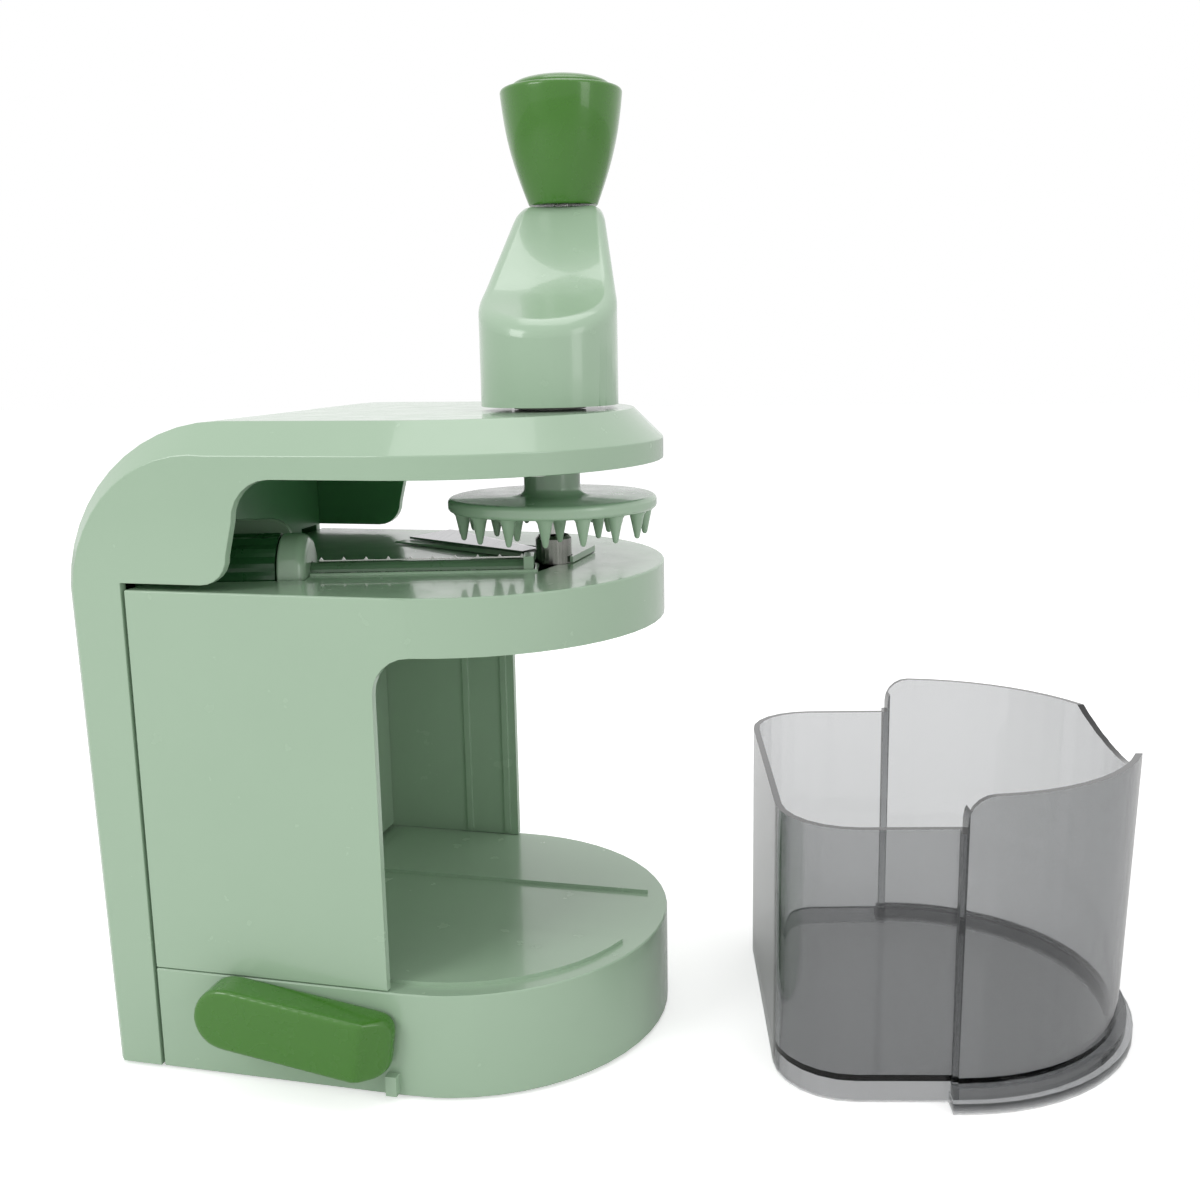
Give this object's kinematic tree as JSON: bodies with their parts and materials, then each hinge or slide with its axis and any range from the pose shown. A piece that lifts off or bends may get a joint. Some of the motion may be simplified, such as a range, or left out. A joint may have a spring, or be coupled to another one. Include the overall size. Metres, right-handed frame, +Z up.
{
  "type": "hand-cranked spiralizer",
  "caption": "Hand-cranked vegetable spiralizer: toothed holder on a sliding C-shaped head, fixed blade with turning combs, coring tube, suction foot with lever and a loose catch container.",
  "frame": {"origin": "on the bench under the centre of the half-round nose, in the suction pad's underside", "axes": "+X to the nose, +Z up, -Y to the side with the suction lever"},
  "size_m": [0.309, 0.1691, 0.3028],
  "materials": {
    "sage_plastic": "polished sage-green moulding",
    "inner_plastic": "satin darker sage moulding",
    "leaf_plastic": "satin leaf-green moulding",
    "pine_plastic": "fluted dark-green moulding",
    "smoked_clear": "smoky clear plastic",
    "steel": "brushed stainless steel",
    "blade_steel": "ground stainless steel with a bright edge",
    "soft_rubber": "matt dark rubber",
    "nylon": "natural nylon"
  },
  "bodies": {
    "root": {"base_housing": "sage_plastic", "base_bottom_plate": "inner_plastic", "base_screw_1": "steel", "base_screw_2": "steel", "base_screw_3": "steel", "base_screw_4": "steel", "rear_foot_left": "soft_rubber", "rear_foot_right": "soft_rubber", "suction_pad": "soft_rubber", "pad_clamp_ring": "inner_plastic", "axle_saddle": "inner_plastic", "body_housing": "sage_plastic", "deck_underplate": "inner_plastic", "bay_rear_wall": "sage_plastic", "rear_column": "inner_plastic", "guide_rod_left": "steel", "guide_rod_right": "steel", "rod_buffer_left": "soft_rubber", "rod_buffer_right": "soft_rubber", "blade_ramp": "sage_plastic", "main_blade": "blade_steel", "blade_screw_1": "steel", "blade_screw_2": "steel", "core_tube": "steel", "tube_nut": "inner_plastic", "selector_cradle": "inner_plastic", "selector_collar": "sage_plastic", "selector_front_bearing": "sage_plastic"},
    "plunger": {"pull_stud": "steel", "lift_yoke": "steel"},
    "lever": {"suction_lever": "leaf_plastic", "lever_axle": "steel"},
    "selector": {"comb_bar": "pine_plastic", "comb_coarse": "blade_steel", "comb_medium": "blade_steel", "comb_fine": "blade_steel", "selector_knob": "pine_plastic"},
    "lift_head": {"lift_shell": "sage_plastic", "arm_cover": "pine_plastic", "cover_screw_1": "steel", "cover_screw_2": "steel", "cover_screw_3": "steel", "cover_screw_4": "steel", "spindle_bush": "nylon", "guide_shoe_left": "nylon", "guide_shoe_right": "nylon"},
    "crank": {"spindle": "steel", "thrust_washer": "nylon", "crank_arm": "sage_plastic", "crank_arm_cover": "inner_plastic", "food_holder": "sage_plastic", "holder_centre_pin": "steel", "knob_pin": "steel", "drive_pin": "steel", "holder_pin": "steel"},
    "knob": {"crank_knob": "leaf_plastic", "knob_cap": "leaf_plastic"},
    "catch_container": {"container": "smoked_clear"}
  },
  "joints": [
    {"name": "head_lift", "type": "slide", "parent": "root", "child": "lift_head", "axis": [0, 0, 1], "range_m": [0, 0.09]},
    {"name": "crank_turn", "type": "hinge", "parent": "lift_head", "child": "crank", "pos_m": [0.0311, 0, 0.1983], "axis": [0, 0, 1], "continuous": true},
    {"name": "knob_spin", "type": "hinge", "parent": "crank", "child": "knob", "pos_m": [0.02304, 0.04995, 0.2616], "axis": [0, 0, 1], "continuous": true},
    {"name": "selector_turn", "type": "hinge", "parent": "root", "child": "selector", "pos_m": [0, -0.02, 0.1498], "axis": [0.9677, 0.2521, 0], "range_deg": [0, 270]},
    {"name": "lever_throw", "type": "hinge", "parent": "root", "child": "lever", "pos_m": [-0.0508, -0.065, 0.0249], "axis": [0, -1, 0], "range_deg": [0, 95]},
    {"name": "plunger_pull", "type": "slide", "parent": "root", "child": "plunger", "axis": [0, 0, 1], "range_m": [0, 0.0012]},
    {"name": "container_lift", "type": "slide", "parent": "root", "child": "catch_container", "axis": [0, 0, 1], "range_m": [0, 0.15]}
  ],
  "couplings": [
    {"joint": "lever_throw", "follows": "plunger_pull", "rad_per_m": 1381.7}
  ]
}
